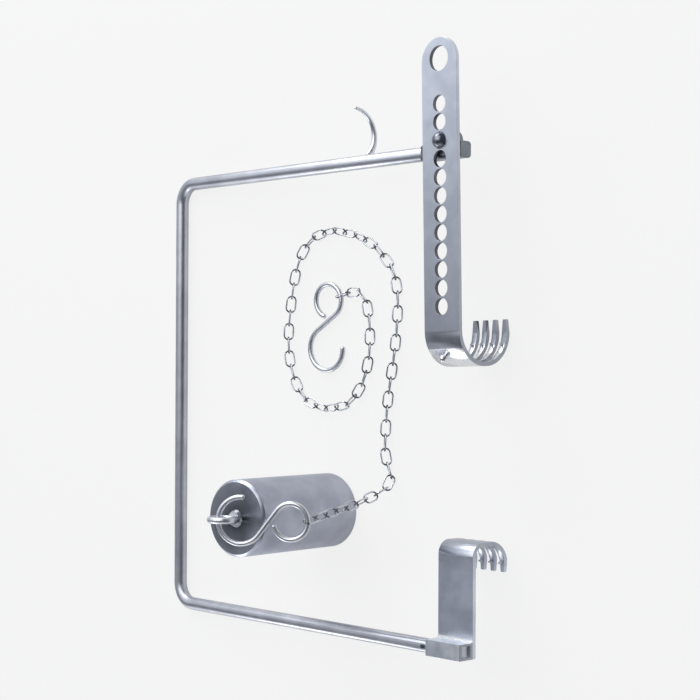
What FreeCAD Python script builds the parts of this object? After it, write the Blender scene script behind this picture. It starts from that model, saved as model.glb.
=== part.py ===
"""Self retaining retractor: a bent rod frame, two pronged blades, a weight, two S hooks and a chain.

The frame set is modelled in the plane of the rod: X along the spine, -Y along the arms towards
their tips, +Z up through the blades.  It is then tilted until its spine and the prongs of both
blades rest on the surface that the weight and the chain stand on.  Millimetres throughout.
"""
import FreeCAD, Part
import os
from math import acos, asin, atan2, ceil, cos, degrees, hypot, pi, radians, sin, sqrt

import Sketcher
from FreeCAD import Placement, Rotation, Vector

SIZES = {
    # bent rod
    "rod_diameter": 8.0,
    "frame_width": 270.0,
    "corner_radius": 13.0,
    "upper_arm": 224.0,
    "lower_arm": 229.0,
    "spigot_diameter": 6.0,
    "spigot_length": 12.0,
    "tang_side": 6.0,
    "tang_length": 25.0,
    # block and domed stud on the upper arm
    "block_side": 9.0,
    "block_length": 30.0,
    "block_round": 2.0,
    "boss_diameter": 13.0,
    "stud_diameter": 9.1,
    "stud_shank": 6.0,
    "stud_back": 12.8,
    "stud_out": 5.3,
    "stud_dome": 6.6,
    "seat_gap": 0.02,
    # hook for the chain on the upper arm
    "arm_hook_place": 175.6,
    "arm_hook_radius": 15.5,
    "arm_hook_out": 14.4,
    "arm_hook_up": 9.4,
    "arm_hook_root": 4.2,
    "arm_hook_tip": 1.9,
    "arm_hook_turn": 143.0,
    # both blades
    "blade_width": 26.0,
    "blade_sheet": 2.4,
    "blade_drop": 31.6,
    "blade_gap": 0.3,
    "prong_count": 4.0,
    "prong_inset": 1.9,
    "prong_width": 3.6,
    "prong_tip_width": 1.7,
    "prong_taper": 7.0,
    "peg_diameter": 1.6,
    "peg_height": 2.6,
    # perforated blade
    "index_count": 12.0,
    "index_pitch": 10.0,
    "index_used": 3.0,
    "index_diameter": 9.3,
    "end_hole_diameter": 13.9,
    "end_hole_gap": 23.0,
    "end_hole_shift": 1.5,
    "perforated_reach": 122.3,
    "perforated_bend": 18.0,
    "perforated_prong": 25.8,
    "perforated_slot_top": 21.0,
    "perforated_peg_back": 15.0,
    "perforated_yaw": 1.2,
    "knob_neck": 2.6,
    "knob_head": 4.4,
    "knob_reach": 4.6,
    "knob_side": 2.6,
    "knob_rise": 46.0,
    # socket blade
    "socket_length": 26.5,
    "socket_width": 9.0,
    "socket_height": 10.4,
    "socket_clearance": 0.08,
    "socket_gap": 0.1,
    "socket_reach": 53.3,
    "socket_bend": 6.5,
    "socket_curl": 12.0,
    "socket_prong": 17.5,
    "socket_slot_top": 13.5,
    "socket_peg_back": 5.5,
    "braze_radius": 1.6,
    "stop_pin_diameter": 2.4,
    "stop_pin_height": 0.8,
    "stop_pin_depth": 4.8,
    # weight and its eye
    "weight_diameter": 44.0,
    "weight_height": 81.0,
    "weight_chamfer": 1.5,
    "weight_along": -68.4,
    "weight_out": 125.0,
    "eye_shank": 6.0,
    "eye_shank_depth": 14.0,
    "eye_collar": 10.0,
    "eye_collar_height": 2.0,
    "eye_ring": 7.4,
    "eye_wire": 3.8,
    # S hooks
    "hook_wire": 3.0,
    "hook_open_radius": 13.0,
    "hook_closed_radius": 10.0,
    "hook_centres": 29.0,
    "hook_open_end": 79.0,
    "hook_closed_end": 190.0,
    "hook_end_round": 1.2,
    "hook_lift": 2.9,
    "hook_inset": 1.0,
    "hook_slack": 0.3,
    "end_hook_along": 28.4,
    "end_hook_out": 123.3,
    "end_hook_turn": -5.0,
    "end_hook_link": -75.0,
    # chain
    "link_wire": 1.0,
    "link_width": 6.5,
    "link_pitch": 8.5,
    "link_slack": 0.3,
    "link_corners": 5.0,
    "link_sides": 6.0,
    "hanging_links": 8.0,
    "chain_pieces": 8.0,
}

HANGING_ROUTE = [(-64.5, -170.6, 0.72), (-60.5, -171.8, 0.43), (-55.5, -173.2, 0.18)]
FLOOR_ROUTE = [
    (-48.0, -174.8), (-38.5, -171.2), (-20.8, -170.0), (-3.5, -171.4), (14.5, -174.4), (32.3, -177.3),
    (51.3, -178.7), (66.9, -177.6), (76.5, -173.2), (84.0, -166.6), (90.5, -158.4), (96.0, -146.0),
    (99.0, -131.6), (97.8, -118.5), (91.5, -107.6), (81.0, -100.8), (61.1, -95.7), (40.0, -93.0),
    (21.6, -94.0), (7.9, -98.9), (-2.2, -107.0), (-6.6, -118.0), (-7.2, -130.0), (-4.4, -141.0),
    (4.5, -150.2), (18.6, -156.2), (36.1, -157.9), (51.0, -156.4), (60.5, -152.6),
]

doc = FreeCAD.newDocument("retractor")
sheet = doc.addObject("Spreadsheet::Sheet", "sizes")
for row, (alias, number) in enumerate(SIZES.items(), 1):
    sheet.set(f"A{row}", alias)
    sheet.set(f"B{row}", str(number))
    sheet.setAlias(f"B{row}", alias)
doc.recompute()

parts = []
X_AXIS, Y_AXIS, Z_AXIS = Vector(1, 0, 0), Vector(0, 1, 0), Vector(0, 0, 1)


def size(alias):
    """A driving dimension, read from the sheet."""
    return float(getattr(sheet, alias))


def value(text):
    """The number that an expression over the sheet gives."""
    result = sheet.evalExpression(text)
    return float(getattr(result, "Value", result))


def bind(thing, **expressions):
    """Ties properties of an object to expressions over the sheet."""
    for name, text in expressions.items():
        thing.setExpression(name, text)


def new_body(name):
    """A sub-part that is made by sketched features."""
    return doc.addObject("PartDesign::Body", name)


def keep(thing, label, placement):
    """Names a finished sub-part and puts it in its place."""
    thing.Label = label
    thing.Placement = placement
    parts.append(thing)
    return thing


def plane_sketch(body, name, role, lift="0"):
    """A sketch on one of the body's own origin planes, lifted along the plane's normal."""
    sketch = body.newObject("Sketcher::SketchObject", name)
    plane = next(item for item in body.Origin.OriginFeatures if item.Role == role)
    sketch.AttachmentSupport = [(plane, "")]
    sketch.MapMode = "FlatFace"
    bind(sketch, **{".AttachmentOffset.Base.z": lift})
    doc.recompute()
    return sketch


def hold(sketch, kind, where, text):
    """A dimension in a sketch that follows an expression."""
    index = sketch.addConstraint(Sketcher.Constraint(kind, *where, value(text)))
    sketch.setExpression(f"Constraints[{index}]", text)


def hold_point(sketch, curve, end, across, up):
    """Both coordinates of a curve's end follow expressions."""
    for kind, axis, text in (("DistanceX", -2, across), ("DistanceY", -1, up)):
        if text == "0":
            sketch.addConstraint(Sketcher.Constraint("PointOnObject", curve, end, axis))
        else:
            hold(sketch, kind, (-1, 1, curve, end), text)


def draw_path(sketch, runs):
    """Lines between held points, with an arc wherever a run is one.

    A line is (start, end), each a pair of expressions.  An arc is (centre, radius, from, to) with
    its angles in degrees, as numbers or expressions.  It joins the lines beside it and keeps its
    radius, or its centre where it is a half circle or where one of its ends is free.
    """
    ends = {}
    arcs = []
    for run in runs:
        if len(run) == 4:
            centre, radius, *span = run
            middle = Vector(value(centre[0]), value(centre[1]), 0)
            circle = Part.Circle(middle, Z_AXIS, value(radius))
            start, stop = [value(str(angle)) for angle in span]
            curve = sketch.addGeometry(Part.ArcOfCircle(circle, radians(start), radians(stop)))
            arcs.append((curve, centre, radius, span, stop - start))
            continue
        points = [Vector(value(x), value(y), 0) for x, y in run]
        curve = sketch.addGeometry(Part.LineSegment(*points))
        for end, (point, texts) in enumerate(zip(points, run), 1):
            spot = (round(point.x, 4), round(point.y, 4))
            if spot in ends:
                sketch.addConstraint(Sketcher.Constraint("Coincident", *ends[spot], curve, end))
            else:
                ends[spot] = (curve, end)
                hold_point(sketch, curve, end, *texts)
    for curve, centre, radius, span, turn in arcs:
        shape = sketch.Geometry[curve]
        free = []
        for end, point in ((1, shape.StartPoint), (2, shape.EndPoint)):
            spot = (round(point.x, 4), round(point.y, 4))
            if spot in ends:
                sketch.addConstraint(Sketcher.Constraint("Coincident", *ends[spot], curve, end))
            else:
                free.append((end, point))
        chord = shape.EndPoint - shape.StartPoint
        if free:
            hold_point(sketch, curve, 3, *centre)
            end, point = free[0]
            level = abs(point.y - shape.Center.y) < abs(point.x - shape.Center.x)
            kind, turned, middle = ("DistanceY", "sin", centre[1]) if level else ("DistanceX", "cos", centre[0])
            hold(sketch, kind, (-1, 1, curve, end), f"{middle} + {radius} * {turned}({span[end - 1]})")
        elif turn == 180 and abs(chord.x) > abs(chord.y):
            hold(sketch, "DistanceY", (-1, 1, curve, 3), centre[1])
        elif turn == 180:
            hold(sketch, "DistanceX", (-1, 1, curve, 3), centre[0])
        else:
            hold(sketch, "Radius", (curve,), radius)
    doc.recompute()


def draw_outline(sketch, corners):
    """A closed outline through held corners."""
    draw_path(sketch, list(zip(corners, corners[1:] + corners[:1])))


def draw_circle(sketch, across, up, radius):
    """A circle with a held centre and radius."""
    circle = Part.Circle(Vector(value(across), value(up), 0), Z_AXIS, value(radius))
    curve = sketch.addGeometry(circle)
    hold_point(sketch, curve, 3, across, up)
    hold(sketch, "Radius", (curve,), radius)
    doc.recompute()


def draw_rectangle(sketch, across, up, wide, tall):
    """A rectangle with its centre and sides held by expressions."""
    left, right = f"({across}) - ({wide}) / 2", f"({across}) + ({wide}) / 2"
    low, high = f"({up}) - ({tall}) / 2", f"({up}) + ({tall}) / 2"
    draw_outline(sketch, [(left, low), (right, low), (right, high), (left, high)])


def pad(body, name, sketch, length):
    """Adds a straight extrusion along the sketch's normal."""
    feature = body.newObject("PartDesign::Pad", name)
    feature.Profile = sketch
    bind(feature, Length=length)
    doc.recompute()
    return feature


def pocket(body, name, sketch, length, along_normal=False):
    """Cuts a straight extrusion and makes sure that it removed something."""
    before = body.Shape.Volume
    feature = body.newObject("PartDesign::Pocket", name)
    feature.Profile = sketch
    feature.Reversed = along_normal
    bind(feature, Length=length)
    doc.recompute()
    if not body.Shape.Volume < before:
        raise ValueError(f"{name} cuts nothing")
    return feature


def repeat(body, name, feature, sketch, axis, length, count):
    """Repeats a cut in a straight line along a sketch axis."""
    pattern = body.newObject("PartDesign::LinearPattern", name)
    pattern.Originals = [feature]
    pattern.Direction = (sketch, [axis])
    pattern.Mode = 0
    bind(pattern, Length=length, Occurrences=count)
    body.Tip = pattern
    doc.recompute()
    return pattern


def sweep(body, name, profile, path):
    """Carries a section along a path."""
    pipe = body.newObject("PartDesign::AdditivePipe", name)
    pipe.Profile = profile
    pipe.Spine = path
    doc.recompute()
    return pipe


def edges_of(feature, test):
    """The names of the edges that pass a test on their ends."""
    names = []
    for number, edge in enumerate(feature.Shape.Edges, 1):
        ends = [vertex.Point for vertex in edge.Vertexes]
        if len(ends) == 2 and test(*ends):
            names.append(f"Edge{number}")
    return names


def soften(body, name, kind, feature, edges, amount):
    """A fillet or a chamfer on named edges of the last feature."""
    softened = body.newObject(f"PartDesign::{kind}", name)
    softened.Base = (feature, edges)
    bind(softened, **{"Radius" if kind == "Fillet" else "Size": amount})
    doc.recompute()
    return softened


ROD_R = size("rod_diameter") / 2
HALF_WIDTH = size("frame_width") / 2
STUD_Y = size("upper_arm") + size("block_length") - size("stud_back")
STUD_X = HALF_WIDTH + size("stud_out")


def frame_tilt():
    """The angle that rests the rod's spine and the inner prongs on one flat surface."""
    reach = STUD_Y - size("blade_width") / 2
    drop = size("blade_drop") + size("blade_sheet") / 2
    return atan2(drop, reach) - asin(ROD_R / hypot(reach, drop))


TILT = frame_tilt()
FRAME_PLACE = Placement(Vector(0, 0, ROD_R), Rotation(X_AXIS, -degrees(TILT)))


def frame_rod():
    """The C shaped rod: a spigot for the stud block on one arm, a square tang on the other."""
    body = new_body("frame_rod")
    path = plane_sketch(body, "frame_rod_path", "XY_Plane")
    half, bend = "sizes.frame_width / 2", "sizes.corner_radius"
    upper, lower = (half, "-sizes.upper_arm"), (f"-({half})", "-sizes.lower_arm")
    inset = f"{half} - {bend}"
    draw_path(path, [
        (upper, (half, f"-{bend}")),
        ((inset, f"-{bend}"), bend, 0, 90),
        ((inset, "0"), (f"-({inset})", "0")),
        ((f"-({inset})", f"-{bend}"), bend, 90, 180),
        ((f"-({half})", f"-{bend}"), lower),
    ])
    section = plane_sketch(body, "frame_rod_section", "XZ_Plane", "sizes.upper_arm")
    draw_circle(section, half, "0", "sizes.rod_diameter / 2")
    sweep(body, "frame_rod_sweep", section, path)
    spigot = plane_sketch(body, "spigot_section", "XZ_Plane", "sizes.upper_arm")
    draw_circle(spigot, half, "0", "sizes.spigot_diameter / 2")
    pad(body, "spigot", spigot, "sizes.spigot_length")
    tang = plane_sketch(body, "tang_section", "XZ_Plane", "sizes.lower_arm")
    draw_rectangle(tang, f"-({half})", "0", "sizes.tang_side", "sizes.tang_side")
    pad(body, "tang", tang, "sizes.tang_length")
    pin = plane_sketch(body, "stop_pin_hole", "XY_Plane", "sizes.rod_diameter / 2")
    draw_circle(pin, f"-({half})", STOP_PIN_Y, "sizes.stop_pin_diameter / 2 + sizes.seat_gap")
    pocket(body, "stop_pin_bore", pin, "sizes.stop_pin_depth + sizes.seat_gap")
    return keep(body, "frame_rod", FRAME_PLACE)


STOP_PIN_Y = "-(sizes.lower_arm - sizes.stop_pin_diameter)"


def stop_pin():
    """The small pin just behind the tang, which stops the socket."""
    pin = doc.addObject("Part::Cylinder", "stop_pin")
    bind(pin, Radius="sizes.stop_pin_diameter / 2",
         Height="sizes.stop_pin_height + sizes.stop_pin_depth")
    foot = Vector(-HALF_WIDTH, value(STOP_PIN_Y), ROD_R - size("stop_pin_depth"))
    place = Placement(foot, Rotation())
    return keep(pin, "stop_pin", FRAME_PLACE.multiply(place))


def stud_block():
    """The block that is brazed on the spigot, with a round boss for the stud."""
    body = new_body("stud_block")
    half = "sizes.frame_width / 2"
    section = plane_sketch(body, "block_section", "XZ_Plane", "sizes.upper_arm")
    draw_rectangle(section, half, "0", "sizes.block_side", "sizes.block_side")
    block = pad(body, "block", section, "sizes.block_length")
    far = -value("sizes.upper_arm + sizes.block_length")
    sides = edges_of(block, lambda p, q: abs(p.y - q.y) > 1)
    rounded = soften(body, "block_rounding", "Fillet", block, sides, "sizes.block_round")
    end = edges_of(rounded, lambda p, q: abs(p.y - far) < 0.01 and abs(q.y - far) < 0.01)
    soften(body, "block_end", "Chamfer", rounded, end, "sizes.block_round / 4")
    stud_y = "-(sizes.upper_arm + sizes.block_length - sizes.stud_back)"
    boss = plane_sketch(body, "boss_section", "XY_Plane", "-sizes.block_side / 2")
    draw_circle(boss, f"{half} + sizes.stud_out", stud_y, "sizes.boss_diameter / 2")
    pad(body, "boss", boss, "sizes.block_side")
    bore = plane_sketch(body, "spigot_bore_section", "XZ_Plane", "sizes.upper_arm")
    draw_circle(bore, half, "0", "sizes.spigot_diameter / 2 + sizes.seat_gap")
    pocket(body, "spigot_bore", bore, "sizes.spigot_length + sizes.seat_gap", along_normal=True)
    seat = plane_sketch(body, "stud_bore_section", "XY_Plane", "sizes.block_side")
    draw_circle(seat, f"{half} + sizes.stud_out", stud_y, "sizes.stud_shank / 2 + sizes.seat_gap")
    pocket(body, "stud_bore", seat, "sizes.block_side * 2")
    return keep(body, "stud_block", FRAME_PLACE)


def index_stud():
    """The domed stud that an index hole of the perforated blade drops over."""
    body = new_body("index_stud")
    outline = plane_sketch(body, "stud_outline", "XZ_Plane")
    low, top, dome = "-sizes.block_side / 2", "sizes.block_side / 2", "sizes.stud_dome"
    shank, head = "sizes.stud_shank / 2", "sizes.stud_diameter / 2"
    draw_path(outline, [
        (("0", low), (shank, low)),
        ((shank, low), (shank, top)),
        ((shank, top), (head, top)),
        ((head, top), (head, dome)),
        (("0", dome), head, 0, 90),
        (("0", f"{dome} + {head}"), ("0", low)),
    ])
    turned = body.newObject("PartDesign::Revolution", "stud_turning")
    turned.Profile = outline
    turned.ReferenceAxis = (outline, ["V_Axis"])
    turned.Angle = 360
    doc.recompute()
    place = Placement(Vector(STUD_X, -STUD_Y, 0), Rotation())
    return keep(body, "index_stud", FRAME_PLACE.multiply(place))


def tapered_arc(radius, turn, root, tip, stations):
    """A round wire that thins along an arc in the XZ plane, as a loft through its sections."""
    rings = []
    for step in range(stations):
        share = step / (stations - 1)
        angle = radians(turn) * share
        centre = Vector(radius * cos(angle), 0, radius * sin(angle))
        along = Vector(-sin(angle), 0, cos(angle))
        wire_r = (root + (tip - root) * share) / 2
        rings.append(Part.Wire([Part.makeCircle(wire_r, centre, along)]))
    return Part.makeLoft(rings, True)


def arm_hook():
    """The tapered hook brazed on the outer side of the upper arm, for the chain."""
    out, up, radius = size("arm_hook_out"), size("arm_hook_up"), size("arm_hook_radius")
    wire = tapered_arc(radius, size("arm_hook_turn"), size("arm_hook_root"), size("arm_hook_tip"), 9)
    tip_ball = Part.makeSphere(size("arm_hook_tip") / 2)
    turn = radians(size("arm_hook_turn"))
    tip_ball.translate(Vector(radius * cos(turn), 0, radius * sin(turn)))
    wire = wire.fuse(tip_ball)
    start = degrees(atan2(-up, -out))
    wire.rotate(Vector(), Y_AXIS, -start)
    wire.translate(Vector(out, 0, up))
    rod = Part.makeCylinder(ROD_R, size("corner_radius"), Vector(0, -size("corner_radius") / 2, 0), Y_AXIS)
    place = Vector(HALF_WIDTH, -size("arm_hook_place"), 0)
    wire.translate(place)
    rod.translate(place)
    hook = doc.addObject("Part::Feature", "arm_hook")
    hook.Shape = wire.cut(rod)
    return keep(hook, "arm_hook", FRAME_PLACE)


PRONG_PITCH = "(sizes.blade_width - sizes.prong_inset * 2) / (sizes.prong_count - 1)"


def blade_strip(body, name, level, reach, bend, curl, prong, slot_top, flat_end):
    """The bent part of a blade, from the flat through the wall to the prongs.

    The blade's own frame has the flat's middle plane at z 0 and the wall at -X, so the prongs
    point towards +X.  flat_end is where the flat begins, and level how far it lies over the arms.
    """
    sheet_half = "sizes.blade_sheet / 2"
    depth = f"({level}) + sizes.blade_drop"
    wall = f"-({reach}) + {sheet_half}"
    section = plane_sketch(body, f"{name}_section", "YZ_Plane", f"{wall} + {bend}")
    draw_rectangle(section, "0", "0", "sizes.blade_width", "sizes.blade_sheet")
    path = plane_sketch(body, f"{name}_path", "XZ_Plane")
    top, low = (f"{wall} + {bend}", f"-({bend})"), (f"{wall} + {curl}", f"-({depth}) + {curl}")
    draw_path(path, [
        (top, bend, 90, 180),
        ((wall, top[1]), (wall, low[1])),
        (low, curl, 180, 270),
        ((low[0], f"-({depth})"), (f"-({reach}) + {prong}", f"-({depth})")),
    ])
    sweep(body, f"{name}_bend", section, path)

    slot_half = f"({PRONG_PITCH} - sizes.prong_width) / 2"
    slot_y = f"-(sizes.prong_count - 2) / 2 * {PRONG_PITCH}"
    slot = plane_sketch(body, f"{name}_slot_section", "YZ_Plane", f"-({reach}) + {prong} + {sheet_half}")
    left, right = f"{slot_y} - {slot_half}", f"{slot_y} + {slot_half}"
    deep, shoulder = f"-({depth}) - sizes.blade_sheet", f"-({slot_top})"
    draw_path(slot, [
        ((left, deep), (right, deep)),
        ((right, deep), (right, shoulder)),
        ((slot_y, shoulder), slot_half, 0, 180),
        ((left, shoulder), (left, deep)),
    ])
    cut = pocket(body, f"{name}_slot", slot, f"{prong} + sizes.blade_sheet * 2")
    repeat(body, f"{name}_slots", cut, slot, "H_Axis",
           f"(sizes.prong_count - 2) * {PRONG_PITCH}", "sizes.prong_count - 1")

    tip = plane_sketch(body, f"{name}_tip_section", "XY_Plane", shoulder)
    tip_y = f"-sizes.prong_count / 2 * {PRONG_PITCH}"
    tip_half = f"({PRONG_PITCH} - sizes.prong_tip_width) / 2"
    end_x = f"-({reach}) + {prong} + {sheet_half}"
    start_x = f"-({reach}) + {prong} - sizes.prong_taper"
    draw_outline(tip, [
        (start_x, f"{tip_y} - {slot_half}"), (end_x, f"{tip_y} - {tip_half}"),
        (end_x, f"{tip_y} + {tip_half}"), (start_x, f"{tip_y} + {slot_half}"),
    ])
    taper = pocket(body, f"{name}_tip", tip, f"{depth}")
    repeat(body, f"{name}_tips", taper, tip, "V_Axis",
           f"sizes.prong_count * {PRONG_PITCH}", "sizes.prong_count + 1")


PERFORATED_LEVEL = "sizes.block_side / 2 + sizes.blade_gap + sizes.blade_sheet / 2"
SOCKET_LEVEL = "-(sizes.socket_height + sizes.blade_sheet) / 2"
PERFORATED_PLACE = FRAME_PLACE.multiply(Placement(
    Vector(STUD_X, -STUD_Y, value(PERFORATED_LEVEL)), Rotation(Z_AXIS, size("perforated_yaw"))))
SOCKET_Y = size("lower_arm") + size("socket_gap") + size("socket_length") / 2
SOCKET_PLACE = FRAME_PLACE.multiply(Placement(
    Vector(-HALF_WIDTH, -SOCKET_Y, value(SOCKET_LEVEL)), Rotation(Z_AXIS, 180)))


def perforated_blade():
    """The long blade: a row of index holes, a large round end and a pronged hook."""
    body = new_body("perforated_blade")
    reach, bend = "sizes.perforated_reach", "sizes.perforated_bend"
    half, start = "sizes.blade_width / 2", f"-({reach}) + sizes.blade_sheet / 2 + {bend}"
    round_x = "(sizes.index_used - 1) * sizes.index_pitch + sizes.end_hole_gap"
    flat = plane_sketch(body, "flat_outline", "XY_Plane", "-sizes.blade_sheet / 2")
    draw_path(flat, [
        ((start, f"-{half}"), (round_x, f"-{half}")),
        ((round_x, "0"), half, -90, 90),
        ((round_x, half), (start, half)),
        ((start, half), (start, f"-{half}")),
    ])
    pad(body, "flat", flat, "sizes.blade_sheet")
    end_hole = plane_sketch(body, "end_hole_outline", "XY_Plane", "sizes.blade_sheet")
    draw_circle(end_hole, f"{round_x} + sizes.end_hole_shift", "0", "sizes.end_hole_diameter / 2")
    pocket(body, "end_hole", end_hole, "sizes.blade_sheet * 2")
    index = plane_sketch(body, "index_outline", "XY_Plane", "sizes.blade_sheet")
    first_x = "-(sizes.index_count - sizes.index_used) * sizes.index_pitch"
    draw_circle(index, first_x, "0", "sizes.index_diameter / 2")
    hole = pocket(body, "index_hole", index, "sizes.blade_sheet * 2")
    repeat(body, "index_holes", hole, index, "H_Axis",
           "(sizes.index_count - 1) * sizes.index_pitch", "sizes.index_count")
    blade_strip(body, "perforated", PERFORATED_LEVEL, reach, bend, bend, "sizes.perforated_prong",
                "sizes.perforated_slot_top", start)
    return keep(body, "perforated_blade", PERFORATED_PLACE)


def socket_blade():
    """The short blade that is brazed under the socket: a flat, a wall and a pronged curl."""
    body = new_body("socket_blade")
    reach, bend = "sizes.socket_reach + sizes.socket_width / 2", "sizes.socket_bend"
    start, end = f"-({reach}) + sizes.blade_sheet / 2 + {bend}", "sizes.socket_width / 2"
    half = "sizes.blade_width / 2"
    flat = plane_sketch(body, "short_flat_outline", "XY_Plane", "-sizes.blade_sheet / 2")
    draw_outline(flat, [(start, f"-{half}"), (end, f"-{half}"), (end, half), (start, half)])
    pad(body, "short_flat", flat, "sizes.blade_sheet")
    blade_strip(body, "socket", SOCKET_LEVEL, reach, bend, "sizes.socket_curl", "sizes.socket_prong",
                "sizes.socket_slot_top", start)
    return keep(body, "socket_blade", SOCKET_PLACE)


def pegs(label, place, level, reach, curl, prong, back):
    """The row of small pegs on the inner side of the prongs, so far back from their tips."""
    curl_r, sheet_half = value(curl), size("blade_sheet") / 2
    depth = value(f"({level}) + sizes.blade_drop")
    straight = value(prong) - sheet_half - curl_r
    turn = max(0.0, value(back) - straight) / curl_r
    middle = Vector(-value(reach) + sheet_half + curl_r, 0, curl_r - depth)
    inward = Vector(sin(turn), 0, cos(turn))
    inner_r, peg_r = curl_r - sheet_half, size("peg_diameter") / 2
    foot = middle - inward * (sqrt(inner_r ** 2 - peg_r ** 2) if turn else inner_r)
    foot.x += max(0.0, straight - value(back))
    count = round(size("prong_count"))
    row = []
    for number in range(count):
        peg = doc.addObject("Part::Cone", f"{label}_{number + 1}")
        bind(peg, Radius1="sizes.peg_diameter / 2", Radius2="sizes.peg_diameter / 3",
             Height="sizes.peg_height")
        side = (number - (count - 1) / 2) * value(PRONG_PITCH)
        peg.Placement = Placement(foot + Vector(0, side, 0), Rotation(Z_AXIS, inward))
        row.append(peg)
    group = doc.addObject("Part::Compound", label)
    group.Links = row
    doc.recompute()
    return keep(group, label, place)


def blade_knob():
    """The small knob on the outer side of the perforated blade's upper bend."""
    bend, half = size("perforated_bend"), size("blade_sheet") / 2
    neck = doc.addObject("Part::Cylinder", "knob_neck")
    bind(neck, Radius="sizes.knob_neck / 2",
         Height="sizes.knob_reach - sizes.knob_head / 2 + sizes.blade_sheet / 2")
    neck.Placement = Placement(Vector(half, 0, 0), Rotation(Z_AXIS, Vector(-1, 0, 0)))
    head = doc.addObject("Part::Sphere", "knob_head")
    bind(head, Radius="sizes.knob_head / 2")
    head.Placement = Placement(Vector(size("knob_head") / 2 - size("knob_reach"), 0, 0), Rotation())
    solid = doc.addObject("Part::Fuse", "knob_solid")
    solid.Base, solid.Tool = neck, head
    seat = doc.addObject("Part::Cylinder", "knob_seat")
    bind(seat, Radius="sizes.perforated_bend + sizes.blade_sheet / 2", Height="sizes.blade_width")
    seat.Placement = Placement(Vector(bend + half, size("blade_width") / 2, 0), Rotation(X_AXIS, 90))
    knob = doc.addObject("Part::Cut", "blade_knob")
    knob.Base, knob.Tool = solid, seat
    doc.recompute()
    turn = Rotation(Y_AXIS, size("knob_rise"))
    middle = Vector(half + bend - size("perforated_reach"), size("knob_side"), -bend)
    foot = middle + turn.multVec(Vector(-bend - half, 0, 0))
    return keep(knob, "blade_knob", PERFORATED_PLACE.multiply(Placement(foot, turn)))


def blade_socket():
    """The block with the square bore that slides on the tang."""
    body = new_body("blade_socket")
    half, place_y = "-sizes.frame_width / 2", "sizes.lower_arm + sizes.socket_gap"
    section = plane_sketch(body, "socket_section", "XZ_Plane", place_y)
    draw_rectangle(section, half, "0", "sizes.socket_width", "sizes.socket_height")
    block = pad(body, "socket_block", section, "sizes.socket_length")
    near = -value(place_y)
    end = edges_of(block, lambda p, q: abs(p.y - near) < 0.01 and abs(q.y - near) < 0.01)
    soften(body, "socket_end", "Chamfer", block, end, "sizes.socket_width / 10")
    bore = plane_sketch(body, "socket_bore_section", "XZ_Plane", place_y)
    wide = "sizes.tang_side + sizes.socket_clearance * 2"
    draw_rectangle(bore, half, "0", wide, wide)
    pocket(body, "socket_bore", bore, "sizes.socket_length", along_normal=True)
    return keep(body, "blade_socket", FRAME_PLACE)


def braze_seam():
    """The hollow fillet of braze between the socket's side and the top of its blade."""
    body = new_body("braze_seam")
    radius, low = "sizes.braze_radius", "sizes.blade_sheet / 2"
    outline = plane_sketch(body, "braze_outline", "XZ_Plane", "-sizes.blade_width / 2")
    side = "-sizes.socket_width / 2"
    draw_path(outline, [
        ((side, low), (side, f"{low} + {radius}")),
        ((f"{side} - {radius}", f"{low} + {radius}"), radius, -90, 0),
        ((f"{side} - {radius}", low), (side, low)),
    ])
    pad(body, "braze_strip", outline, "sizes.blade_width")
    return keep(body, "braze_seam", SOCKET_PLACE)


WEIGHT_PLACE = Placement(Vector(size("weight_along"), -size("weight_out"), 0), Rotation())
RING_LIFT = "sizes.eye_collar_height + sizes.eye_ring + sizes.eye_wire / 6"
RING_HEIGHT = size("weight_height") + value(RING_LIFT)


def weight_cylinder():
    """The turned weight with a bore for the eye's shank."""
    body = new_body("weight_cylinder")
    outline = plane_sketch(body, "weight_outline", "XZ_Plane")
    radius, tall, edge = "sizes.weight_diameter / 2", "sizes.weight_height", "sizes.weight_chamfer"
    bore, floor = "sizes.eye_shank / 2 + sizes.seat_gap", f"{tall} - sizes.eye_shank_depth - sizes.seat_gap"
    draw_outline(outline, [
        ("0", "0"), (f"{radius} - {edge}", "0"), (radius, edge), (radius, f"{tall} - {edge}"),
        (f"{radius} - {edge}", tall), (bore, tall), (bore, floor), ("0", floor),
    ])
    turned = body.newObject("PartDesign::Revolution", "weight_turning")
    turned.Profile = outline
    turned.ReferenceAxis = (outline, ["V_Axis"])
    turned.Angle = 360
    doc.recompute()
    return keep(body, "weight_cylinder", WEIGHT_PLACE)


def eye_bolt():
    """The ring on the weight, with its collar and the shank that is screwed into the bore."""
    body = new_body("eye_bolt")
    outline = plane_sketch(body, "shank_outline", "XZ_Plane")
    shank, deep = "sizes.eye_shank / 2", "-sizes.eye_shank_depth"
    collar, top = "sizes.eye_collar / 2", "sizes.eye_collar_height"
    draw_outline(outline, [
        ("0", deep), (shank, deep), (shank, "0"), (collar, "0"),
        (f"{collar} - sizes.eye_wire / 4", top), ("0", top),
    ])
    turned = body.newObject("PartDesign::Revolution", "shank_turning")
    turned.Profile = outline
    turned.ReferenceAxis = (outline, ["V_Axis"])
    turned.Angle = 360
    doc.recompute()
    section = plane_sketch(body, "ring_section", "XY_Plane", RING_LIFT)
    draw_circle(section, "0", "sizes.eye_ring", "sizes.eye_wire / 2")
    ring = body.newObject("PartDesign::Revolution", "ring")
    ring.Profile = section
    ring.ReferenceAxis = (section, ["H_Axis"])
    ring.Angle = 360
    doc.recompute()
    place = WEIGHT_PLACE.multiply(Placement(Vector(0, 0, size("weight_height")), Rotation()))
    return keep(body, "eye_bolt", place)


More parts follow.
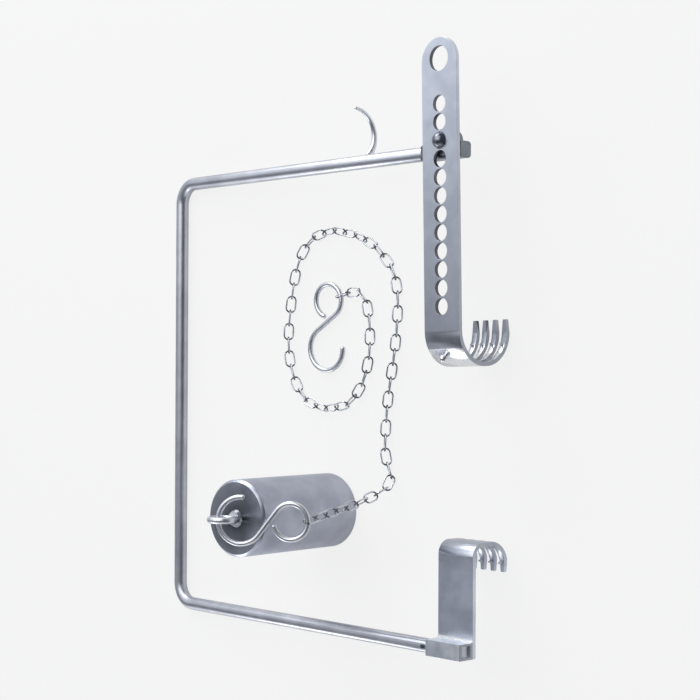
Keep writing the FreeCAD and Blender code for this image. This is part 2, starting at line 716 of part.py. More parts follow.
def weight_hook_place():
    """The hook hangs in the ring and leans on the weight's top edge."""
    wire_r = size("hook_wire") / 2
    top = Vector(size("weight_along"), size("hook_inset") - size("weight_out"), RING_HEIGHT + size("hook_lift"))
    edge_out = size("weight_diameter") / 2 - size("weight_chamfer") + size("hook_inset")
    rise = top.z - size("weight_height")
    lean = atan2(rise, edge_out) - asin((wire_r + size("hook_slack")) / hypot(rise, edge_out))
    along = Vector(0, -cos(lean), -sin(lean))
    return Placement(top, Rotation(along, X_AXIS, Vector(), "XYZ"))


def end_hook_place():
    """The loose hook lies on its open loop, its closed loop lifted by the chain's last link."""
    wire_r = size("hook_wire") / 2
    lift = size("link_wire") + size("hook_slack") * 2
    span = size("hook_centres") + size("hook_open_radius")
    pitch = asin(lift / span)
    turn = radians(size("end_hook_turn"))
    flat = Vector(cos(turn), sin(turn), 0)
    along = flat * cos(pitch) + Z_AXIS * sin(pitch)
    across = Vector(sin(turn), -cos(turn), 0)
    corner = Vector(size("end_hook_along"), -size("end_hook_out"), wire_r) - flat * size("hook_open_radius")
    return Placement(corner, Rotation(along, across, Vector(), "XYZ"))


WEIGHT_HOOK_PLACE = weight_hook_place()
END_HOOK_PLACE = end_hook_place()


def s_hook(label, place):
    """An S hook of round wire: the open loop's outer end at the origin, the closed loop at +X."""
    body = new_body(label)
    path = plane_sketch(body, f"{label}_path", "XY_Plane")
    open_r, closed_r, apart = "sizes.hook_open_radius", "sizes.hook_closed_radius", "sizes.hook_centres"
    lean = f"acos(({open_r} + {closed_r}) / {apart})"
    leave = (f"{open_r} * (1 + cos({lean}))", f"-{open_r} * sin({lean})")
    join = (f"{open_r} + {apart} - {closed_r} * cos({lean})", f"{closed_r} * sin({lean})")
    draw_path(path, [
        (leave, join),
        ((open_r, "0"), open_r, "sizes.hook_open_end", f"360 deg - {lean}"),
        ((f"{open_r} + {apart}", "0"), closed_r, "sizes.hook_closed_end", f"540 deg - {lean}"),
    ])
    section = body.newObject("Sketcher::SketchObject", f"{label}_section")
    section.AttachmentSupport = [(path, "Edge2")]
    section.MapMode = "NormalToEdge"
    doc.recompute()
    draw_circle(section, "0", "0", "sizes.hook_wire / 2")
    wire = sweep(body, f"{label}_wire", section, path)
    ends = [vertex.Point for vertex in path.Shape.Vertexes]
    rims = []
    for number, edge in enumerate(wire.Shape.Edges, 1):
        if edge.isClosed() and min(end.distanceToPoint(edge.CenterOfMass) for end in ends) < size("seat_gap"):
            rims.append(f"Edge{number}")
    soften(body, f"{label}_ends", "Fillet", wire, rims, "sizes.hook_end_round")
    return keep(body, label, place)


def link_outline():
    """The middle line of a link: two straight sides and two faceted round ends."""
    corners = round(size("link_corners"))
    half_long = (size("link_pitch") + size("link_slack") + size("link_wire")) / 2
    half_wide = (size("link_width") - size("link_wire")) / 2
    points = []
    for end in (0, pi):
        middle = Vector(half_long - half_wide, 0, 0) * (1 if end == 0 else -1)
        for corner in range(corners):
            angle = end - pi / 2 + pi * corner / (corners - 1)
            points.append(middle + Vector(cos(angle), sin(angle), 0) * half_wide)
    return points


def link_shape():
    """One oval link of faceted wire, its length along X and its hole along Z."""
    wire_r, sides = size("link_wire") / 2, round(size("link_sides"))
    points = link_outline()
    rings = []
    for before, point, after in zip(points[-1:] + points[:-1], points, points[1:] + points[:1]):
        into, away = (point - before).normalize(), (after - point).normalize()
        out = (into + away).cross(Z_AXIS).normalize()
        spread = 1 / out.dot(away.cross(Z_AXIS))
        ring = []
        for side in range(sides):
            turn = 2 * pi * side / sides
            ring.append(point + out * (wire_r * cos(turn) * spread) + Z_AXIS * (wire_r * sin(turn)))
        rings.append(ring)
    faces = []
    for here, ahead in zip(rings, rings[1:] + rings[:1]):
        for side in range(sides):
            after = (side + 1) % sides
            loop = [here[side], ahead[side], ahead[after], here[after], here[side]]
            faces.append(Part.Face(Part.makePolygon(loop)))
    link = Part.Solid(Part.Shell(faces))
    if link.Volume < 0:
        link.reverse()
    return link


def chain_stations():
    """The points where link meets link, from the weight's hook over the floor to the loose hook."""
    hook_r = size("hook_wire") / 2
    catch = hook_r + size("hook_slack") - size("link_slack") / 2
    end = size("hook_open_radius") + size("hook_centres")
    start = WEIGHT_HOOK_PLACE.multVec(Vector(end + size("hook_closed_radius"), 0, 0))
    start.z += catch
    turn = radians(size("end_hook_link"))
    out = Vector(cos(turn), sin(turn), 0)
    middle = END_HOOK_PLACE.multVec(Vector(end, 0, 0))
    last_catch = size("link_width") / 2 - size("link_wire") - size("link_slack") / 2
    finish = middle + out * (size("hook_closed_radius") - last_catch)
    approach = middle + out * (size("hook_closed_radius") + size("link_pitch"))
    half_wide = (size("link_width") - size("link_wire")) / 2
    low = (half_wide + size("link_wire") / 2) * sin(pi / 4) + size("link_wire") / 4
    points = [start] + [Vector(x, y, start.z * share) for x, y, share in HANGING_ROUTE]
    points += [Vector(x, y, low) for x, y in FLOOR_ROUTE]
    upright = size("link_width") / 2 + size("hook_slack") / 4
    points += [Vector(approach.x, approach.y, upright), Vector(finish.x, finish.y, upright)]
    curve = Part.BSplineCurve()
    curve.interpolate(points)
    links = ceil(curve.length() / size("link_pitch"))
    stations = curve.toShape().discretize(links + 1)
    tail = size("hanging_links") / 2
    for number, station in enumerate(stations):
        rise = max(0.0, min(1.0, 2 * (number - links + tail) / tail))
        station.z = max(station.z, low + (upright - low) * rise)
    return stations


STATIONS = chain_stations()


def link_normals():
    """The direction of each link's hole: neighbours stand square to each other."""
    count = len(STATIONS) - 1
    hanging = round(size("hanging_links"))
    up = Z_AXIS
    ups = [None] * count
    for number in list(range(hanging, count)) + list(range(hanging - 1, -1, -1)):
        along = (STATIONS[number + 1] - STATIONS[number]).normalize()
        up = Z_AXIS if number >= hanging else up
        up = (up - along * up.dot(along)).normalize()
        ups[number] = up
    normals = []
    for number in range(count):
        along = (STATIONS[number + 1] - STATIONS[number]).normalize()
        settle = min(1, number / hanging)
        last_turn = 90 if count % 2 else 0
        finish = max(0, number - (count - 1 - hanging / 2)) / (hanging / 2)
        roll = 45 * settle + (last_turn - 45) * finish + 90 * (number % 2)
        normals.append(Rotation(along, roll).multVec(ups[number]))
    return normals


def chain_piece(label, first, last, normals):
    """Some neighbouring links of the chain, each a solid of its own."""
    link = link_shape()
    links = []
    for number in range(first, last):
        here, ahead = STATIONS[number], STATIONS[number + 1]
        turn = Rotation(ahead - here, Vector(), normals[number], "XZY")
        links.append(link.transformed(Placement((here + ahead) / 2, turn).toMatrix(), True))
    piece = doc.addObject("Part::Feature", label)
    piece.Shape = Part.Compound(links)
    return keep(piece, label, Placement())


def chain_splits():
    """The link numbers where one movable piece of the chain ends and the next begins."""
    count, pieces = len(STATIONS) - 1, round(size("chain_pieces"))
    hanging = round(size("hanging_links"))
    share = (count - hanging) / (pieces - 1)
    return [0] + [hanging + round(share * number) for number in range(pieces)]


CHAIN_SPLITS = chain_splits()


def build():
    """Makes every sub-part, stands the whole on its lowest points and writes the files."""
    frame_rod()
    stop_pin()
    stud_block()
    index_stud()
    arm_hook()
    perforated_blade()
    pegs("perforated_pegs", PERFORATED_PLACE, PERFORATED_LEVEL, "sizes.perforated_reach",
         "sizes.perforated_bend", "sizes.perforated_prong", "sizes.perforated_peg_back")
    blade_knob()
    blade_socket()
    socket_blade()
    pegs("socket_pegs", SOCKET_PLACE, SOCKET_LEVEL, "sizes.socket_reach + sizes.socket_width / 2",
         "sizes.socket_curl", "sizes.socket_prong", "sizes.socket_peg_back")
    braze_seam()
    weight_cylinder()
    eye_bolt()
    s_hook("weight_s_hook", WEIGHT_HOOK_PLACE)
    normals = link_normals()
    for number, (first, last) in enumerate(zip(CHAIN_SPLITS, CHAIN_SPLITS[1:]), 1):
        chain_piece(f"chain_{number}", first, last, normals)
    s_hook("end_s_hook", END_HOOK_PLACE)
    doc.recompute()
    for thing in doc.Objects:
        if "Invalid" in thing.State or "Error" in thing.State:
            raise ValueError(f"{thing.Name} failed")
    for part in parts:
        if part.Shape.isNull() or not part.Shape.isValid():
            raise ValueError(f"{part.Label} has no valid shape")
    box = FreeCAD.BoundBox()
    for part in parts:
        box.add(part.Shape.optimalBoundingBox())
    shift = Vector(-box.Center.x, -box.Center.y, -box.ZMin)
    for part in parts:
        part.Placement = Placement(shift, Rotation()).multiply(part.Placement)
    doc.recompute()
    os.makedirs("parts", exist_ok=True)
    for part in parts:
        part.Shape.exportStep(f"parts/{part.Label}.step")
    return shift


SHIFT = build()
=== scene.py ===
"""Looks of the self retaining retractor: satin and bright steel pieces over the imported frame.

Places and sizes are in metres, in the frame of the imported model: the surface is z 0, the arms
point towards -Y and the blades stand over them.
"""
from math import cos, pi, radians, sin

import bmesh
import bpy
from mathutils import Matrix, Vector


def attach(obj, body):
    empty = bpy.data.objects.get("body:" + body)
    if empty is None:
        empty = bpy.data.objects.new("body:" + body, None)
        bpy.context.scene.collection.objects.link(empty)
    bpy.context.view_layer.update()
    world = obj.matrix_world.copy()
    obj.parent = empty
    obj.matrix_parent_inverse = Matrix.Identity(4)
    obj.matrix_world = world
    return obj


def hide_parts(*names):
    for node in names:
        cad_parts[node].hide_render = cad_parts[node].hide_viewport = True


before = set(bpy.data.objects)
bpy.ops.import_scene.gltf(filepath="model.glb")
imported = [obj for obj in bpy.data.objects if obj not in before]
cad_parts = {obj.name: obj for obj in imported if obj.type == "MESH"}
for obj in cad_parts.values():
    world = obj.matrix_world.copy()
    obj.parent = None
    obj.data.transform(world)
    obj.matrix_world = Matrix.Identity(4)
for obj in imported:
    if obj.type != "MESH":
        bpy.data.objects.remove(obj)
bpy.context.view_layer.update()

ALONG_X = Vector((1.0, 0.0, 0.0))
TOWARDS_END = Vector((0.0, -1.0, 0.0))
UPWARDS = Vector((0.0, 0.0, 1.0))

# the photograph's camera
CAMERA_PLACE = Vector((-0.0105, -0.6562, 0.7543))
CAMERA_LOOK = Vector((0.0098, 0.6488, -0.7609))
CAMERA_UP = Vector((0.9999, -0.0031, 0.0102))
CAMERA_NEAR = 0.01
LENS_MM = 85.4
SENSOR_MM = 36.0

# the sheet under everything: its reach, its depth, what it sends back and how it glows, and the
# share of that glow that the camera and the mirrors of steel see
FLOOR_HALF = 4.0
FLOOR_DROP = 0.0002
FLOOR_TONE = (0.80, 0.80, 0.80, 1.0)
FLOOR_GLOW = (0.970, 0.970, 0.970, 1.0)
FLOOR_SEEN = 0.85
FLOOR_MIRRORED = 0.35

# the backdrop past the sheet, and the light of the dim room
PAPER = (0.913, 0.913, 0.913, 1.0)
ROOM = (0.10, 0.105, 0.12)

# soft patches of the studio: direction, inner and outer angle in degrees, colour
PATCHES = [
    ((0.10, 0.58, 0.80), 6, 40, (0.20, 0.21, 0.23)),
    ((0.45, 0.75, 0.55), 4, 32, (0.62, 0.64, 0.68)),
    ((0.85, 0.50, 0.14), 6, 32, (0.80, 0.82, 0.86)),
    ((-0.70, 0.70, 0.18), 8, 26, (0.95, 0.97, 1.0)),
    ((-1.0, -0.10, 0.25), 6, 34, (0.75, 0.77, 0.80)),
    ((0.0, 1.0, 0.02), 5, 20, (0.40, 0.42, 0.45)),
]

# lamps: name, place, aim, width, height, watts
LAMPS = [
    ("key", (1.15, 0.45, 0.40), (0.02, 0, 0), 0.60, 0.60, 5.0),
    ("strip", (-1.00, 0.60, 0.22), (-0.05, 0, 0), 0.40, 0.70, 2.5),
    ("overhead", (0.70, 0.00, 1.20), (0, 0, 0), 1.40, 1.40, 10.0),
]

# noise of every steel: cloudy wear in its tone, and grain with small wear in its gloss
CLOUD_SCALE, CLOUD_DETAIL = 60.0, 6.0
CLOUD_BAND = (0.38, 0.62)
WEAR_SCALE, WEAR_DETAIL = 160.0, 4.0
GRAIN_DETAIL = 3.0
GRAIN_SHARE, WEAR_SHARE = 0.5, 0.5
GLOSS_BAND = (0.3, 0.7)
RELIEF_DEPTH = 0.00005

# stretch of the grain, small along the way it is drawn out: even, along the long blade, across the
# wall of the socket blade, round the weight and straight over its top
EVEN = (1.0, 1.0, 1.0)
BLADE_GRAIN = (0.05, 1.0, 1.0)
WALL_GRAIN = (1.0, 0.06, 1.0)
TURNED_GRAIN = (0.05, 0.05, 1.0)
FACED_GRAIN = (0.05, 1.0, 1.0)

# steels: light tone, dark tone, least and most roughness, grain, its stretch, relief
STEELS = {
    "satin_steel": ((0.60, 0.63, 0.69), (0.50, 0.53, 0.59), (0.26, 0.38), 1400.0, BLADE_GRAIN, 0.25),
    "worn_steel_painted_light": ((0.56, 0.59, 0.65), (0.46, 0.49, 0.55), (0.26, 0.38), 900.0, WALL_GRAIN, 0.25),
    "block_steel": ((0.95, 0.98, 1.0), (0.70, 0.74, 0.80), (0.32, 0.50), 700.0, EVEN, 0.60),
    # painted shade: a darker copy of block_steel for the end faces of the socket block
    "block_end": ((0.46, 0.48, 0.53), (0.26, 0.28, 0.33), (0.32, 0.50), 700.0, EVEN, 0.60),
    "rod_steel": ((0.64, 0.66, 0.71), (0.54, 0.56, 0.61), (0.30, 0.42), 900.0, EVEN, 0.15),
    "bright_steel": ((0.82, 0.84, 0.88), (0.70, 0.72, 0.76), (0.28, 0.40), 800.0, EVEN, 0.12),
    # painted shade: a dark tone for the stud block under the long blade, the index stud in its hole and
    # the stop pin where rod and block meet
    "dark_steel_painted_shade": ((0.26, 0.28, 0.32), (0.17, 0.19, 0.22), (0.22, 0.34), 800.0, EVEN, 0.15),
    "chain_steel": ((0.82, 0.84, 0.88), (0.60, 0.62, 0.66), (0.22, 0.34), 900.0, EVEN, 0.20),
    # painted shade: darker finish for the ends of the links, where they hook through one another
    "chain_end_painted_shade": ((0.28, 0.29, 0.32), (0.15, 0.16, 0.18), (0.30, 0.42), 900.0, EVEN, 0.20),
    "weight_steel": ((0.56, 0.585, 0.67), (0.45, 0.475, 0.56), (0.30, 0.42), 700.0, TURNED_GRAIN, 0.35),
    # painted highlight: near-white tone for the long blade's bend and its knob; the lower roughness is
    # their polish
    "polished_steel_painted_highlight": ((0.93, 0.94, 0.96), (0.84, 0.85, 0.88), (0.20, 0.30), 900.0, EVEN, 0.12),
    # painted shade: dark tone for the walls of the long blade's holes; their higher roughness is their
    # own
    "hole_wall_painted_shade": ((0.20, 0.21, 0.24), (0.13, 0.14, 0.16), (0.35, 0.48), 900.0, EVEN, 0.25),
    # painted shade: a darker copy of weight_steel for the weight's top; its faced grain is its own
    "turned_top_painted_shade": ((0.40, 0.42, 0.47), (0.27, 0.29, 0.33), (0.30, 0.42), 700.0, FACED_GRAIN, 0.40),
    "braze": ((0.93, 0.94, 0.95), (0.78, 0.79, 0.80), (0.24, 0.36), 500.0, EVEN, 0.40),
}

# broken edges, and the weld that lets them run round a solid
BLADE_EDGE = 0.0005
BLOCK_EDGE = 0.0003
EDGE_STEPS = 2
EDGE_ANGLE = 35
WELD_REACH = 0.000002

# each CAD node that shows: its steel and the width of its broken edges
PIECES = {
    "frame_rod": ("rod_steel", BLOCK_EDGE),
    "perforated_blade": ("satin_steel", BLADE_EDGE),
    "socket_blade": ("worn_steel_painted_light", BLADE_EDGE),
    "blade_socket": ("block_steel", BLOCK_EDGE),
    # painted shade: these three take the dark steel for the shade under the long blade and at the joint
    # of rod and block
    "stud_block": ("dark_steel_painted_shade", BLOCK_EDGE),
    "index_stud": ("dark_steel_painted_shade", 0.0),
    "stop_pin": ("dark_steel_painted_shade", 0.0),
    # painted highlight: the knob is made bright so that the bend's highlight runs on over it
    "blade_knob": ("polished_steel_painted_highlight", 0.0),
    "perforated_pegs": ("bright_steel", 0.0),
    "socket_pegs": ("bright_steel", 0.0),
    "arm_hook": ("bright_steel", 0.0),
    "eye_bolt": ("bright_steel", 0.0),
    "weight_s_hook": ("bright_steel", 0.0),
    "end_s_hook": ("bright_steel", 0.0),
    "weight_cylinder": ("weight_steel", BLOCK_EDGE),
    "braze_seam": ("braze", 0.0),
}

# painted light and shade on the long blade, darker at its bend and brighter towards its round end: a
# range of X and the share at either end
BLADE_LIGHT_RUN = (0.0, 0.165)
BLADE_LIGHT_LEVELS = (0.78, 1.30)

# these pick out the faces that take the painted highlight on the bend and the painted shade in the
# holes
# faces of the long blade, told apart by their place from the stud: the blade's turn about it, the
# half width that holds the holes, where the bend and the row of holes end, and the most of Z or Y
# in the normal of a hole's wall or of the sloping bend
STUD_X, STUD_Y = 0.1119, -0.1121
BLADE_YAW = 0.0209
HOLE_REACH = 0.008
BEND_END = -0.1
HOLE_ROW_END = 0.053
HOLE_WALL_RISE = 0.5
BEND_RISE = 0.87
BEND_SIDEWAYS = 0.6

# painted light on the socket blade: its tone from its wall, lighter, to its curl, given in the same way
WALL_LIGHT_RUN = (-0.122, -0.110)
WALL_LIGHT_LEVELS = (1.40, 0.98)

# painted shade on the weight's top, darkest round the eye as a painted shadow of the eye and the S
# hook: two distances from its middle and the share of its tone at each
EYE_SHADOW_RUN = (0.005, 0.020)
EYE_SHADOW_LEVELS = (0.35, 1.05)

# least cosine between a face and the way that it is said to face
FACING = 0.95

# chain links, as on the CAD nodes that they stand for
LINK_HALF_LONG = 0.0049
LINK_HALF_WIDE = 0.00273
LINK_WIRE = 0.0005
LINK_TURN_STEPS = 10
LINK_SIDES = 12
# past this share of the half width, the ends of a link take the darker finish of painted shade
LINK_SHADE_FROM = 0.55
SPOT_DIGITS = 6
AXIS_ROUNDS = 12


def make_camera():
    """The camera that the frame, the weight and the chain were measured with."""
    data = bpy.data.cameras.new("camera")
    data.lens = LENS_MM
    data.sensor_width = SENSOR_MM
    data.clip_start = CAMERA_NEAR
    camera = bpy.data.objects.new("camera", data)
    bpy.context.collection.objects.link(camera)
    back = -CAMERA_LOOK.normalized()
    right = CAMERA_UP.cross(back).normalized()
    up = back.cross(right)
    turn = Matrix((right, up, back)).transposed().to_4x4()
    camera.matrix_world = Matrix.Translation(CAMERA_PLACE) @ turn
    bpy.context.scene.camera = camera


def new_material(name):
    """An empty node material with its nodes and links."""
    material = bpy.data.materials.new(name)
    material.use_nodes = True
    material.node_tree.nodes.clear()
    return material, material.node_tree.nodes, material.node_tree.links


def floor_material():
    """Paper that takes a faint shadow and glows for the camera and, less, for the steel."""
    material, nodes, links = new_material("paper_floor")
    out = nodes.new("ShaderNodeOutputMaterial")
    lit = nodes.new("ShaderNodeBsdfDiffuse")
    lit.inputs["Color"].default_value = FLOOR_TONE
    glow = nodes.new("ShaderNodeEmission")
    glow.inputs["Color"].default_value = FLOOR_GLOW
    path = nodes.new("ShaderNodeLightPath")
    mirrored = nodes.new("ShaderNodeMath")
    mirrored.operation = "MULTIPLY"
    mirrored.inputs[1].default_value = FLOOR_MIRRORED
    links.new(path.outputs["Is Glossy Ray"], mirrored.inputs[0])
    share = nodes.new("ShaderNodeMath")
    share.operation = "MULTIPLY_ADD"
    share.inputs[1].default_value = FLOOR_SEEN
    links.new(path.outputs["Is Camera Ray"], share.inputs[0])
    links.new(mirrored.outputs[0], share.inputs[2])
    mix = nodes.new("ShaderNodeMixShader")
    links.new(share.outputs[0], mix.inputs[0])
    links.new(lit.outputs[0], mix.inputs[1])
    links.new(glow.outputs[0], mix.inputs[2])
    links.new(mix.outputs[0], out.inputs["Surface"])
    return material


def make_floor():
    """A pale sheet under everything."""
    mesh = bpy.data.meshes.new("floor")
    signs = [(-1, -1), (1, -1), (1, 1), (-1, 1)]
    corners = [(FLOOR_HALF * x, FLOOR_HALF * y, 0) for x, y in signs]
    mesh.from_pydata(corners, [], [(0, 1, 2, 3)])
    floor = bpy.data.objects.new("floor", mesh)
    bpy.context.collection.objects.link(floor)
    floor.location.z = -FLOOR_DROP
    mesh.materials.append(floor_material())


def soft_patch(nodes, links, direction, spot, inner, outer, color):
    """Light from round one direction that fades between two angles."""
    facing = nodes.new("ShaderNodeVectorMath")
    facing.operation = "DOT_PRODUCT"
    facing.inputs[1].default_value = Vector(spot).normalized()
    links.new(direction, facing.inputs[0])
    fade = nodes.new("ShaderNodeMapRange")
    fade.interpolation_type = "SMOOTHSTEP"
    fade.inputs["From Min"].default_value = cos(radians(outer))
    fade.inputs["From Max"].default_value = cos(radians(inner))
    links.new(facing.outputs["Value"], fade.inputs["Value"])
    tint = nodes.new("ShaderNodeVectorMath")
    tint.operation = "SCALE"
    tint.inputs[0].default_value = color
    links.new(fade.outputs["Result"], tint.inputs["Scale"])
    return tint.outputs["Vector"]


def make_world():
    """Pale for the camera; for everything else a dim room with soft bright patches."""
    world = bpy.data.worlds.new("studio")
    bpy.context.scene.world = world
    world.use_nodes = True
    nodes, links = world.node_tree.nodes, world.node_tree.links
    nodes.clear()
    out = nodes.new("ShaderNodeOutputWorld")
    place = nodes.new("ShaderNodeTexCoord")
    total = None
    for spot, inner, outer, color in PATCHES:
        patch = soft_patch(nodes, links, place.outputs["Generated"], spot, inner, outer, color)
        add = nodes.new("ShaderNodeVectorMath")
        add.operation = "ADD"
        add.inputs[0].default_value = ROOM
        if total:
            links.new(total, add.inputs[0])
        links.new(patch, add.inputs[1])
        total = add.outputs["Vector"]
    room = nodes.new("ShaderNodeBackground")
    links.new(total, room.inputs["Color"])
    paper = nodes.new("ShaderNodeBackground")
    paper.inputs["Color"].default_value = PAPER
    path = nodes.new("ShaderNodeLightPath")
    mix = nodes.new("ShaderNodeMixShader")
    links.new(path.outputs["Is Camera Ray"], mix.inputs[0])
    links.new(room.outputs[0], mix.inputs[1])
    links.new(paper.outputs[0], mix.inputs[2])
    links.new(mix.outputs[0], out.inputs["Surface"])


def make_lamps():
    """Soft lamps: a key beside the upper arm, a strip beyond the lower one, a wide one overhead."""
    for name, place, aim, width, height, watts in LAMPS:
        data = bpy.data.lights.new(name, "AREA")
        data.shape = "RECTANGLE"
        data.size, data.size_y = width, height
        data.energy = watts
        lamp = bpy.data.objects.new(name, data)
        bpy.context.collection.objects.link(lamp)
        lamp.location = place
        lamp.rotation_euler = (Vector(aim) - Vector(place)).to_track_quat("-Z", "Y").to_euler()


def noise(nodes, links, place, scale, detail, stretch=EVEN):
    """Object-space noise, drawn out along an axis where its stretch is small."""
    shape = nodes.new("ShaderNodeMapping")
    shape.inputs["Scale"].default_value = stretch
    links.new(place.outputs["Object"], shape.inputs["Vector"])
    texture = nodes.new("ShaderNodeTexNoise")
    texture.inputs["Scale"].default_value = scale
    texture.inputs["Detail"].default_value = detail
    links.new(shape.outputs[0], texture.inputs["Vector"])
    return texture.outputs["Fac"]


def map_range(nodes, links, value, span, levels):
    """Maps a value from one span of numbers on to another."""
    mapped = nodes.new("ShaderNodeMapRange")
    mapped.inputs["From Min"].default_value, mapped.inputs["From Max"].default_value = span
    mapped.inputs["To Min"].default_value, mapped.inputs["To Max"].default_value = levels
    links.new(value, mapped.inputs["Value"])
    return mapped.outputs["Result"]


def steel(name):
    """Steel with a drawn grain, cloudy wear, small scratches and uneven gloss."""
    color, dark, rough, grain, stretch, bump = STEELS[name]
    material, nodes, links = new_material(name)
    out = nodes.new("ShaderNodeOutputMaterial")
    shader = nodes.new("ShaderNodeBsdfPrincipled")
    shader.inputs["Metallic"].default_value = 1.0
    place = nodes.new("ShaderNodeTexCoord")
    tone = nodes.new("ShaderNodeValToRGB")
    for stop, position, shade in zip(tone.color_ramp.elements, CLOUD_BAND, (dark, color)):
        stop.position = position
        stop.color = (*shade, 1.0)
    links.new(noise(nodes, links, place, CLOUD_SCALE, CLOUD_DETAIL), tone.inputs["Fac"])
    links.new(tone.outputs["Color"], shader.inputs["Base Color"])
    lines = noise(nodes, links, place, grain, GRAIN_DETAIL, stretch)
    wear_and_shade = nodes.new("ShaderNodeMath")
    wear_and_shade.operation = "MULTIPLY"
    wear_and_shade.inputs[1].default_value = WEAR_SHARE
    links.new(noise(nodes, links, place, WEAR_SCALE, WEAR_DETAIL), wear_and_shade.inputs[0])
    blend = nodes.new("ShaderNodeMath")
    blend.operation = "MULTIPLY_ADD"
    blend.inputs[1].default_value = GRAIN_SHARE
    links.new(lines, blend.inputs[0])
    links.new(wear_and_shade.outputs[0], blend.inputs[2])
    gloss = map_range(nodes, links, blend.outputs[0], GLOSS_BAND, rough)
    links.new(gloss, shader.inputs["Roughness"])
    relief = nodes.new("ShaderNodeBump")
    relief.inputs["Strength"].default_value = bump
    relief.inputs["Distance"].default_value = RELIEF_DEPTH
    links.new(lines, relief.inputs["Height"])
    links.new(relief.outputs["Normal"], shader.inputs["Normal"])
    links.new(shader.outputs[0], out.inputs["Surface"])
    return material


def dress_pieces(finishes):
    """Gives CAD nodes their finish and, where asked, softly broken edges."""
    for name, (finish, bevel) in PIECES.items():
        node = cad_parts[name]
        node.data.materials.clear()
        node.data.materials.append(finishes[finish])
        if bevel:
            weld = node.modifiers.new("weld", "WELD")
            weld.merge_threshold = WELD_REACH
            edge = node.modifiers.new("edge", "BEVEL")
            edge.width = bevel
            edge.segments = EDGE_STEPS
            edge.limit_method = "ANGLE"
            edge.angle_limit = radians(EDGE_ANGLE)
            edge.harden_normals = True
            edge.use_clamp_overlap = True


def run_tone(material, operation, anchor, span, levels):
    """Scales a material's tone along an object-space direction, or away from a spot."""
    nodes, links = material.node_tree.nodes, material.node_tree.links
    shader = next(item for item in nodes if item.type == "BSDF_PRINCIPLED")
    tone = shader.inputs["Base Color"].links[0].from_socket
    place = nodes.new("ShaderNodeTexCoord")
    run = nodes.new("ShaderNodeVectorMath")
    run.operation = operation
    run.inputs[1].default_value = anchor
    links.new(place.outputs["Object"], run.inputs[0])
    scaled = nodes.new("ShaderNodeVectorMath")
    scaled.operation = "SCALE"
    links.new(tone, scaled.inputs[0])
    level = map_range(nodes, links, run.outputs["Value"], span, levels)
    links.new(level, scaled.inputs["Scale"])
    links.new(scaled.outputs["Vector"], shader.inputs["Base Color"])


def paint_light_along(name, material, run, levels):
    """Paints light and shade on a blade: its tone is scaled along X, as between its bend and its flat.
    """
    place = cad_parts[name].matrix_world
    along = place.to_3x3().inverted() @ ALONG_X
    span = [value - place.translation.x for value in run]
    run_tone(material, "DOT_PRODUCT", along, span, levels)


def paint_long_blade_light(highlight_finish, hole_shade):
    """The blade's bend gets a brighter, glossier finish as a painted highlight, and the walls of its
    holes a dark, dull one as painted shade.
    """
    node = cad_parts["perforated_blade"]
    node.data.materials.append(highlight_finish)
    node.data.materials.append(hole_shade)
    turn = node.matrix_world.to_3x3()
    for face in node.data.polygons:
        normal, spot = turn @ face.normal, node.matrix_world @ face.center
        along = spot.x - STUD_X
        across = spot.y - STUD_Y - along * BLADE_YAW
        in_hole_row = abs(across) < HOLE_REACH and BEND_END < along < HOLE_ROW_END
        on_slope = abs(normal.z) < BEND_RISE and abs(normal.y) < BEND_SIDEWAYS
        # painted shade on the walls of the holes
        if abs(normal.z) < HOLE_WALL_RISE and in_hole_row:
            face.material_index = 2
        # painted highlight on the faces of the sloping bend
        elif on_slope and along < BEND_END:
            face.material_index = 1


def shade_facing_faces(name, facing, material):
    """Paints shade with a second, darker finish on the faces of a node that face one way."""
    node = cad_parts[name]
    node.data.materials.append(material)
    turn = node.matrix_world.to_3x3()
    for face in node.data.polygons:
        if (turn @ face.normal).dot(facing) > FACING:
            face.material_index = 1


def paint_shade_on_weight_top(material):
    """The weight's top face takes a darker copy of its steel as painted shade, darkest round the eye as
    a painted shadow of the eye and the S hook.
    """
    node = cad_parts["weight_cylinder"]
    corners = [node.matrix_world @ Vector(corner) for corner in node.bound_box]
    middle = sum(corners, Vector()) / len(corners)
    middle.z = max(corner.z for corner in corners)
    centre = node.matrix_world.inverted() @ middle
    run_tone(material, "DISTANCE", centre, EYE_SHADOW_RUN, EYE_SHADOW_LEVELS)
    shade_facing_faces("weight_cylinder", UPWARDS, material)


def rounded(spot):
    """A place as a key that is the same for vertices that lie on one another."""
    return tuple(round(value, SPOT_DIGITS) for value in spot)


def islands(mesh):
    """The vertices of each separate link of a mesh."""
    near = {vertex.index: set() for vertex in mesh.vertices}
    spots = {}
    for vertex in mesh.vertices:
        spots.setdefault(rounded(vertex.co), []).append(vertex.index)
    for twins in spots.values():
        for other in twins[1:]:
            near[twins[0]].add(other)
            near[other].add(twins[0])
    for edge in mesh.edges:
        first, second = edge.vertices
        near[first].add(second)
        near[second].add(first)
    left, found = set(near), []
    while left:
        queue = [left.pop()]
        group = list(queue)
        while queue:
            for other in near[queue.pop()] & left:
                left.discard(other)
                queue.append(other)
                group.append(other)
        found.append([mesh.vertices[index].co.copy() for index in group])
    return found


def main_axis(offsets, guess):
    """The direction in which a set of offsets spreads most, from a first guess."""
    for _ in range(AXIS_ROUNDS):
        guess = sum((offset * offset.dot(guess) for offset in offsets), Vector()).normalized()
    return guess


def link_frame(points):
    """Centre, long direction and wide direction of one link, from its vertices."""
    spots = {rounded(point) for point in points}
    middle = sum((Vector(spot) for spot in spots), Vector()) / len(spots)
    far = max(points, key=lambda point: (point - middle).length)
    ends = [point for point in points if (point - middle).dot(far - middle) < 0]
    other = max(ends, key=lambda point: (point - middle).length)
    offsets = [Vector(spot) - middle for spot in spots]
    along = main_axis(offsets, far - other)
    flat = [offset - along * offset.dot(along) for offset in offsets]
    widest = max(flat, key=lambda offset: offset.length).normalized()
    return middle, along, main_axis(flat, widest)


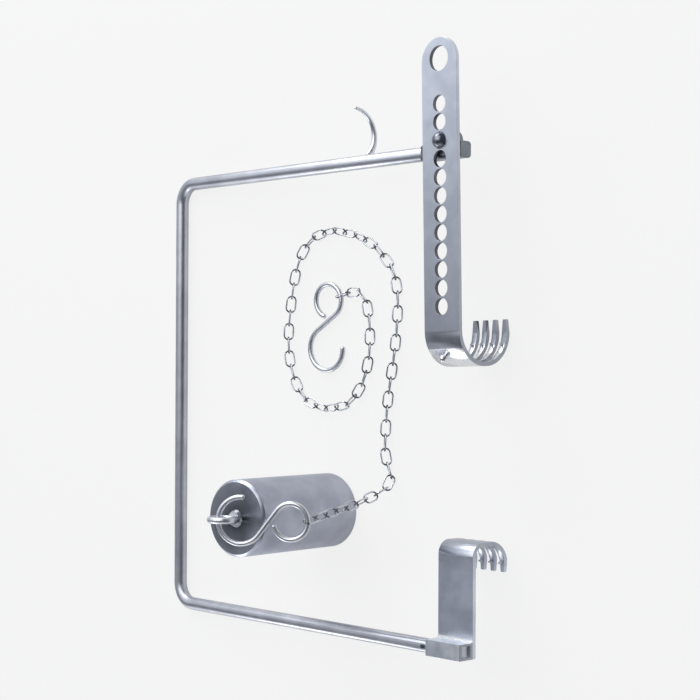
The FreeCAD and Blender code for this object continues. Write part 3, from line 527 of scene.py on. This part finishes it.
def add_link(bm, middle, along, side):
    """One oval link of round wire, with the faces of its ends marked for a darker finish, painted shade
    where the links hook through one another.
    """
    hole = along.cross(side)
    straight = LINK_HALF_LONG - LINK_HALF_WIDE
    rings = []
    for end, start in ((1, -pi / 2), (-1, pi / 2)):
        for step in range(LINK_TURN_STEPS + 1):
            angle = start + pi * step / LINK_TURN_STEPS
            out = along * cos(angle) + side * sin(angle)
            spot = middle + along * straight * end + out * LINK_HALF_WIDE
            ring = []
            for number in range(LINK_SIDES):
                turn = 2 * pi * number / LINK_SIDES
                ring.append(bm.verts.new(spot + (out * cos(turn) + hole * sin(turn)) * LINK_WIRE))
            rings.append(ring)
    for here, ahead in zip(rings, rings[1:] + rings[:1]):
        spot = sum((vertex.co for vertex in here + ahead), Vector()) / (2 * LINK_SIDES)
        # painted shade: the ends where the links hook through one another take the darker finish
        wear_and_shade = abs((spot - middle).dot(along)) > straight + LINK_HALF_WIDE * LINK_SHADE_FROM
        for number in range(LINK_SIDES):
            after = (number + 1) % LINK_SIDES
            face = bm.faces.new((here[number], ahead[number], ahead[after], here[after]))
            face.smooth = True
            face.material_index = int(wear_and_shade)


def round_chain(material, wear_and_shade):
    """Links of round wire in the places of the plain ones of each chain node, with painted shade on
    their ends.
    """
    chains = {name: node for name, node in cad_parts.items() if name.startswith("chain_")}
    for name, node in chains.items():
        bm = bmesh.new()
        for points in islands(node.data):
            add_link(bm, *link_frame(points))
        bmesh.ops.recalc_face_normals(bm, faces=bm.faces)
        mesh = bpy.data.meshes.new(f"{name}_links")
        bm.to_mesh(mesh)
        bm.free()
        mesh.materials.append(material)
        mesh.materials.append(wear_and_shade)
        links_object = bpy.data.objects.new(f"{name}_links", mesh)
        bpy.context.collection.objects.link(links_object)
        links_object.matrix_world = node.matrix_world
        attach(links_object, name)
        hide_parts(name)


make_camera()
make_floor()
make_world()
make_lamps()
bpy.context.scene.view_settings.view_transform = "Standard"

FINISHES = {name: steel(name) for name in STEELS}
# painted light and shade: the long blade is darker at its bend and brighter towards its round end
paint_light_along("perforated_blade", FINISHES["satin_steel"], BLADE_LIGHT_RUN, BLADE_LIGHT_LEVELS)
# painted light: the socket blade's wall is lighter than its curl
paint_light_along("socket_blade", FINISHES["worn_steel_painted_light"], WALL_LIGHT_RUN, WALL_LIGHT_LEVELS)
dress_pieces(FINISHES)
# painted shade on the weight's top, and a painted shadow round the eye
paint_shade_on_weight_top(FINISHES["turned_top_painted_shade"])
# painted shade on the end faces of the socket block, which face along -Y
shade_facing_faces("blade_socket", TOWARDS_END, FINISHES["block_end"])
# painted highlight on the long blade's bend, painted shade on the walls of its holes
paint_long_blade_light(FINISHES["polished_steel_painted_highlight"], FINISHES["hole_wall_painted_shade"])
round_chain(FINISHES["chain_steel"], FINISHES["chain_end_painted_shade"])
